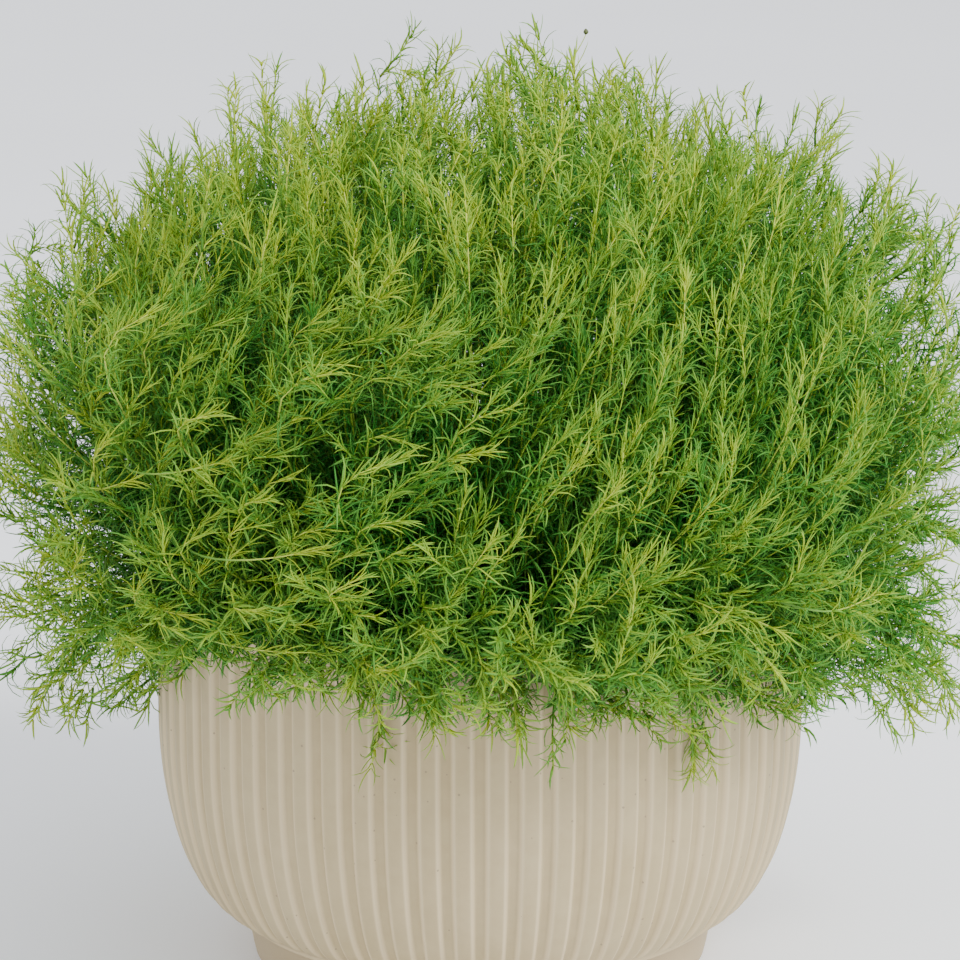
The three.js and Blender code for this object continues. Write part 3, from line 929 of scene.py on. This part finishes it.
def make_foliage(seed=11):
    """Three layers of sprigs: the dense surface, a filling painted darker as shade, and a few that
    stand out.
    """
    rng = np.random.default_rng(seed)
    layers = [
        layer_of_sprigs(1800, lambda g, n: 0.004 + g.gamma(1.5, 0.0075, n), 0.0, seed + 1),
        layer_of_sprigs(620, lambda g, n: g.uniform(0.022, 0.05, n), 0.5, seed + 2),
        layer_of_sprigs(230, lambda g, n: g.uniform(-0.009, 0.003, n), 0.1, seed + 3),
    ]
    path, tone, names, total = (np.concatenate(parts) for parts in zip(*layers))
    count = len(path)
    leafed = np.minimum(rng.uniform(0.05, 0.078, count), total * 0.8)
    vigour = rng.uniform(0.82, 1.1, count)
    parents = np.flatnonzero(rng.random(count) < FORKED_SHARE)
    back = rng.uniform(0.012, 0.034, len(parents))
    side = forks(path, parents, back, rng)
    path = np.concatenate([path, side])
    leafed = np.concatenate([leafed, back * FORK_LEAFED_SHARE])
    tone = np.concatenate([tone, tone[parents] - FORK_SHADE])
    vigour = np.concatenate([vigour, vigour[parents] * 0.9])
    names = np.concatenate([names, names[parents]])
    for name in sorted(set(names)):
        pick = names == name
        add_pieces(str(name), [str(name)], path[pick], leafed[pick], tone[pick], vigour[pick], rng)


make_foliage()


# ---- Stray stems, single sprigs, stalk and bud ----


# Azimuth in degrees and height of the bare end and of the leafy tip of long pale stems that lie
# across the dome.
STRAY_STEMS = (
    (217, 0.172, 238, 0.158),
    (226, 0.160, 249, 0.151),
    (212, 0.190, 229, 0.199),
    (220, 0.201, 241, 0.209),
    (230, 0.180, 253, 0.186),
    (305, 0.162, 320, 0.156),
)


def make_strays(seed=5):
    """Long stems that lie on the dome's surface, bare but for their tips."""
    sag, sunk, root_depth = 0.004, 0.006, 0.03
    leafed, tone, vigour = (np.array([value]) for value in (0.024, 0.97, 1.0))
    rng = np.random.default_rng(seed)
    share = np.linspace(0, 1, STEPS)
    upper = OUTLINE[OUTLINE[:, 1] >= WIDEST_Z][::-1]
    for number, (start, low, end, high) in enumerate(STRAY_STEMS):
        azimuth = np.radians(start + (end - start) * share)
        z = low + (high - low) * share - sag * np.sin(math.pi * share)
        r = np.interp(z, upper[:, 1], upper[:, 0])
        r = np.where(z < WIDEST_Z, DOME_RADIUS - 0.3 * (WIDEST_Z - z), r) - sunk
        r = r - root_depth * (1 - share) ** 6
        path = np.stack([r * np.cos(azimuth), r * np.sin(azimuth), z], -1)[None]
        clump = clump_of(r[-1], z[-1], azimuth[-1])
        add_pieces(f"stray_{number + 1}", [clump], path, leafed, tone, vigour, rng)


make_strays()


def make_sprig(name, reach, companions, seed):
    """A sprig where the CAD tube stands or hangs, with a few shorter companions beside it.

    reach is how far along the tube, from its foot, the stem's end comes; leaves pass beyond it.
    """
    rng = np.random.default_rng(seed)
    low, high = (np.array(corner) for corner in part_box(name))
    middle = (low + high) / 2
    hanging = middle[2] < POT_HEIGHT
    out = unit(middle * [1, 1, 0])
    base = np.array([*middle[:2], high[2] if hanging else low[2]])
    far = np.array([*middle[:2], low[2] if hanging else high[2]])
    count = 1 + companions
    shorter = rng.uniform(0.2, 0.9, count) * (np.arange(count) > 0)
    shift = rng.normal(0, 0.007, (count, 3)) * (np.arange(count) > 0)[:, None]
    tip = base + (far - base) * (reach - shorter * 0.5)[:, None] + shift
    if hanging:
        clear = np.maximum(0, POT_RADIUS + WALL_CLEARANCE - np.linalg.norm(tip[:, :2], axis=1))
        tip = tip + out * clear[:, None]
    aim = unit(unit(far - base) + out * 0.3 + rng.normal(0, 0.35, (count, 3)))
    root = out * SOIL_RADIUS * (0.9 if hanging else 0.6) + UP * (SOIL_Z - ROOT_DEPTH) + shift * 0.2
    path = sprig_paths(tip, aim, root, np.full(count, 0.5 if hanging else 0.35), rng)
    back = rng.uniform(0.012, 0.022, count)
    path = np.concatenate([path, forks(path, np.arange(count), back, rng)])
    leafed = np.concatenate([np.full(count, 0.045), back * FORK_LEAFED_SHARE])
    tone = np.full(2 * count, 0.88) + rng.normal(0, 0.04, 2 * count)
    add_pieces(name, [name], path, leafed, tone, np.full(2 * count, 0.92), rng)


# Name, reach and number of companions.
SINGLE_SPRIGS = (
    ("sprig_left", 0.4, 1),
    ("sprig_right", 0.1, 1),
    ("sprig_top", 0.35, 1),
    ("trailing_sprig_left", 0.85, 6),
    ("trailing_sprig_right", 0.85, 7),
    ("trailing_sprig_front_left", 0.1, 0),
    ("trailing_sprig_front_right", 0.5, 1),
)
for number, (name, reach, companions) in enumerate(SINGLE_SPRIGS):
    make_sprig(name, reach, companions, 100 + number)


def make_stalk():
    """The thread-like stalk, out of the foliage and bent a little below its bud."""
    hidden = 0.03
    radius = 0.00034
    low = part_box("flower_stalk")[0]
    bud_low, bud_high = (np.array(corner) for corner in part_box("flower_bud"))
    middle = (bud_low + bud_high) / 2
    tip = np.array([*middle[:2], bud_low[2]])
    root = tip * [0.7, 0.7, 0] + UP * (low.z - hidden)
    t = np.linspace(0, 1, 16)[None, :, None]
    first = root + UP * hidden
    last = tip - UP * 0.009 - RIGHT * 0.0035
    path = bezier(root[None, None], first[None, None], last[None, None], tip[None, None], t)
    stalk = plant_mesh("flower_stalk_thread", *tubes(path, np.array([radius]), np.array([0.8])), STEM)
    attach(stalk, "root")
    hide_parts("flower_stalk")


def make_bud():
    """The closed bud, with five sepals folded over it."""
    rings, columns = 14, 24
    low, high = (np.array(corner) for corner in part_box("flower_bud"))
    middle = (low + high) / 2
    radius = (high[0] - low[0]) / 2
    height = high[2] - low[2]
    rise = np.linspace(0, 1, rings)[:, None]
    turns = 2 * math.pi * np.arange(columns) / columns
    bulge = np.sin(math.pi * np.clip(rise, 0.03, 0.985) ** 0.8) ** 0.7
    fold = 1 + 0.09 * np.abs(np.cos(2.5 * turns)) - 0.05 * rise
    r = radius * 0.92 * bulge * fold
    level = np.broadcast_to(low[2] + height * rise, r.shape)
    points = np.stack([middle[0] + r * np.cos(turns), middle[1] + r * np.sin(turns), level], -1)
    faces = ring_faces(rings, columns)
    bud = mesh_object("flower_bud_closed", points.reshape(-1, 3), faces, bud_material())
    shade_smooth(bud)
    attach(bud, "root")
    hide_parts("flower_bud")


make_stalk()
make_bud()


# ---- Floor, light and camera ----


def make_floor():
    n = Nodes("floor")
    place = n.add("ShaderNodeTexCoord").outputs["Object"]
    colour = n.ramp(n.noise(place, 3.0, 2.0), (0.3, (0.9, 0.91, 0.925)), (0.7, (0.93, 0.94, 0.955)))
    shader = n.add("ShaderNodeBsdfPrincipled", {"Base Color": colour, "Roughness": 0.9})
    size = 6.0
    corners = [(-size, -size, 0), (size, -size, 0), (size, size, 0), (-size, size, 0)]
    floor = mesh_object("floor", corners, [(0, 1, 2, 3)], n.output(shader.outputs[0]))


def make_lights():
    world = bpy.data.worlds.new("studio")
    world.use_nodes = True
    background = world.node_tree.nodes["Background"]
    background.inputs["Color"].default_value = (0.93, 0.95, 1.0, 1.0)
    background.inputs["Strength"].default_value = 1.56
    bpy.context.scene.world = world
    # Name, place, size in metres and power in watts.
    for name, place, size, power in (
        ("key", (1.1, -0.7, 1.4), 0.9, 46.0),
        ("fill", (-1.2, -0.8, 0.9), 1.2, 1.0),
    ):
        light = bpy.data.lights.new(name, "AREA")
        light.shape = "DISK"
        light.size = size
        light.energy = power
        lamp = bpy.data.objects.new(name, light)
        lamp.location = place
        aim_at(lamp, (0.0, 0.0, 0.18))
        bpy.context.scene.collection.objects.link(lamp)


def aim_at(thing, target):
    direction = Vector(target) - thing.location
    thing.rotation_euler = direction.to_track_quat("-Z", "Y").to_euler()


def make_camera():
    distance = 1.5
    elevation = math.radians(15.0)
    target_z = 0.1656
    camera = bpy.data.cameras.new("camera")
    camera.sensor_width = 36.0
    camera.lens = 166.43
    piece = bpy.data.objects.new("camera", camera)
    piece.location = (0, -distance * math.cos(elevation), target_z + distance * math.sin(elevation))
    aim_at(piece, (0.0, 0.0, target_z))
    bpy.context.scene.collection.objects.link(piece)
    bpy.context.scene.camera = piece


make_floor()
make_lights()
make_camera()
